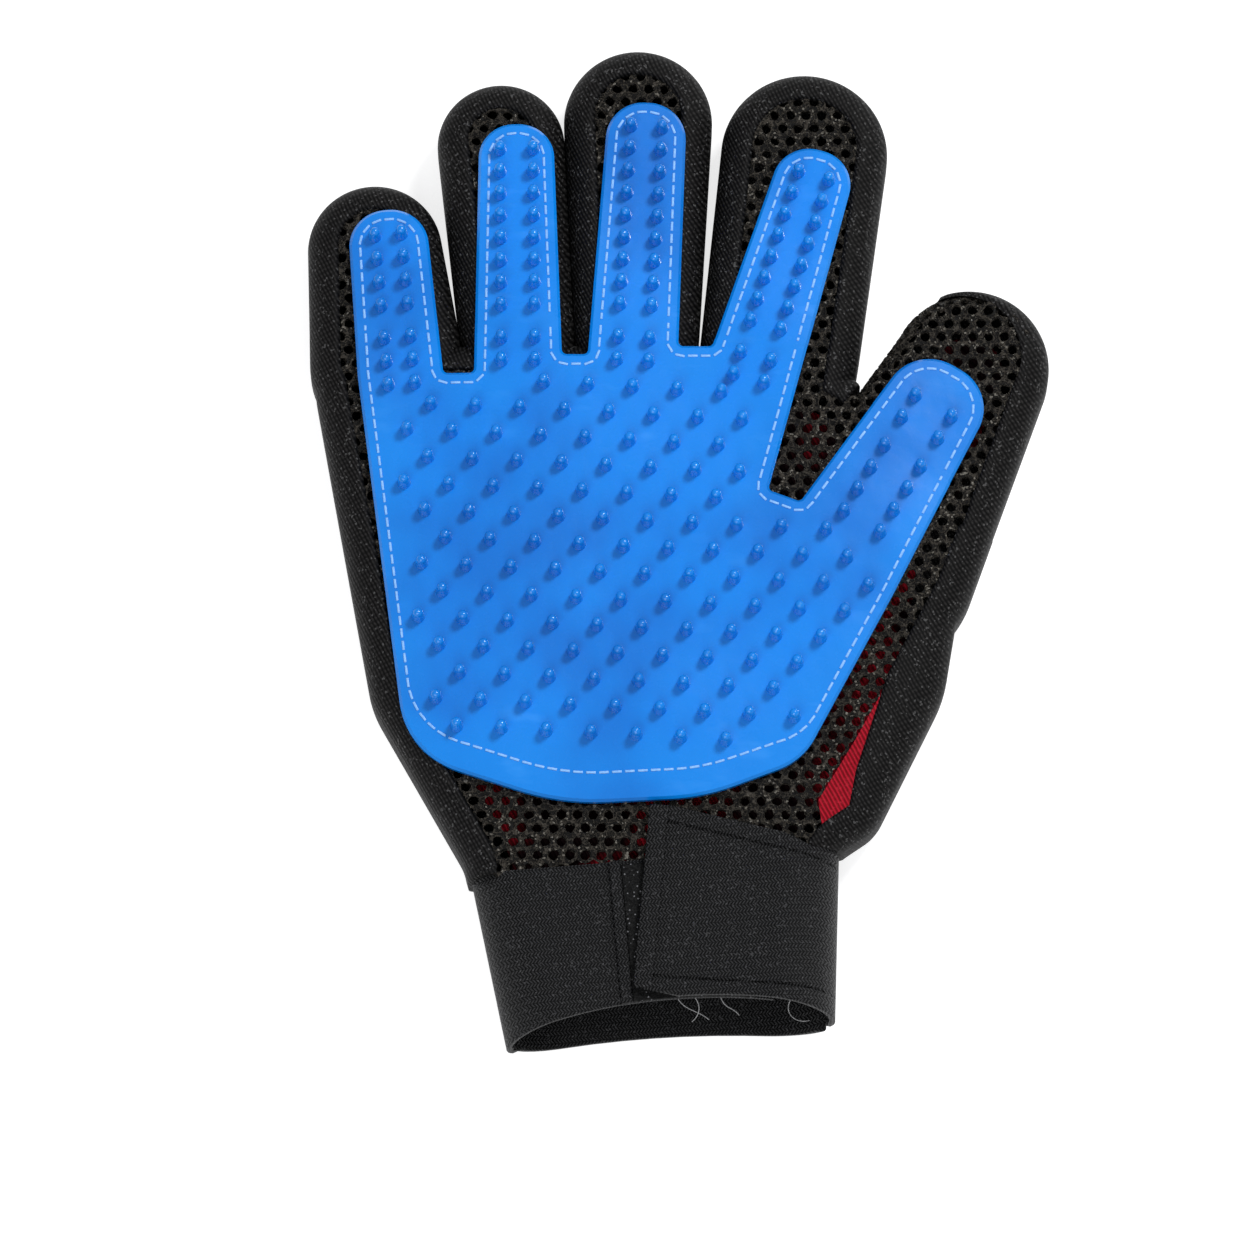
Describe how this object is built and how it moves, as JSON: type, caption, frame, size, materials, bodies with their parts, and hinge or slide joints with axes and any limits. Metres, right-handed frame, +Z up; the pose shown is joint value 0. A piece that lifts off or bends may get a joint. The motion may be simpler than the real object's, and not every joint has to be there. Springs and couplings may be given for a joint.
{
  "type": "grooming glove",
  "caption": "Five-finger pet grooming glove with a studded rubber palm pad, mesh palm, knit back and elastic wrist cuff with a hook-and-loop tab.",
  "frame": {"origin": "on the surface the glove lies on, under the middle of the palm", "axes": "+Z up out of the studded palm, +Y towards the fingertips, +X towards the thumb"},
  "size_m": [0.1723, 0.2419, 0.0283],
  "materials": {
    "blue_rubber": "glossy moulded thermoplastic rubber",
    "black_air_mesh": "open air mesh with round holes",
    "black_knit": "fine ribbed knit",
    "red_knit": "stretch rib knit",
    "blue_thread": "polyester sewing thread",
    "black_elastic": "woven elastic webbing",
    "black_fastener_tape": "hook-and-loop tape"
  },
  "bodies": {
    "palm": {"palm_pad": "blue_rubber", "palm_mesh_panel": "black_air_mesh", "hand_back_panel": "black_knit", "little_side_border": "black_knit", "thumb_side_border": "black_knit", "finger_crotch_borders": "black_knit", "thumb_gusset": "red_knit", "palm_lining": "red_knit", "palm_pad_stitching": "blue_thread", "cuff_front_band": "black_elastic", "cuff_back_band": "black_elastic", "loop_patch": "black_fastener_tape", "loop_patch_binding": "black_elastic"},
    "little_finger": {"little_pad_strip": "blue_rubber", "little_mesh_panel": "black_air_mesh", "little_back_panel": "black_knit", "little_border": "black_knit", "little_pad_stitching": "blue_thread"},
    "ring_finger": {"ring_pad_strip": "blue_rubber", "ring_mesh_panel": "black_air_mesh", "ring_back_panel": "black_knit", "ring_border": "black_knit", "ring_pad_stitching": "blue_thread"},
    "middle_finger": {"middle_pad_strip": "blue_rubber", "middle_mesh_panel": "black_air_mesh", "middle_back_panel": "black_knit", "middle_border": "black_knit", "middle_pad_stitching": "blue_thread"},
    "index_finger": {"index_pad_strip": "blue_rubber", "index_mesh_panel": "black_air_mesh", "index_back_panel": "black_knit", "index_border": "black_knit", "index_pad_stitching": "blue_thread"},
    "thumb": {"thumb_pad_strip": "blue_rubber", "thumb_mesh_panel": "black_air_mesh", "thumb_back_panel": "black_knit", "thumb_border": "black_knit", "thumb_pad_stitching": "blue_thread", "thumb_lining": "red_knit"},
    "closure_tab_flap": {"closure_tab": "black_elastic", "tab_end_hem": "black_elastic", "hook_patch": "black_fastener_tape"}
  },
  "joints": [
    {"name": "little_knuckle_bend", "type": "hinge", "parent": "palm", "child": "little_finger", "pos_m": [-0.0635, 0.0614, 0.022], "axis": [0.9952, 0.0976, 0], "range_deg": [0, 70]},
    {"name": "ring_knuckle_bend", "type": "hinge", "parent": "palm", "child": "ring_finger", "pos_m": [-0.0322, 0.0614, 0.022], "axis": [0.9986, 0.0523, 0], "range_deg": [0, 70]},
    {"name": "middle_knuckle_bend", "type": "hinge", "parent": "palm", "child": "middle_finger", "pos_m": [-0.0043, 0.0614, 0.022], "axis": [1, 0.0087, 0], "range_deg": [0, 70]},
    {"name": "index_knuckle_bend", "type": "hinge", "parent": "palm", "child": "index_finger", "pos_m": [0.0289, 0.0564, 0.022], "axis": [0.9976, -0.0698, 0], "range_deg": [0, 70]},
    {"name": "thumb_knuckle_bend", "type": "hinge", "parent": "palm", "child": "thumb", "pos_m": [0.0621, 0.0297, 0.022], "axis": [0.6807, -0.7325, 0], "range_deg": [0, 50]},
    {"name": "closure_tab_peel", "type": "hinge", "parent": "palm", "child": "closure_tab_flap", "pos_m": [0.04213, -0.0847, 0.0115], "axis": [0.0283, 0.9971, -0.0704], "range_deg": [0, 110]}
  ]
}
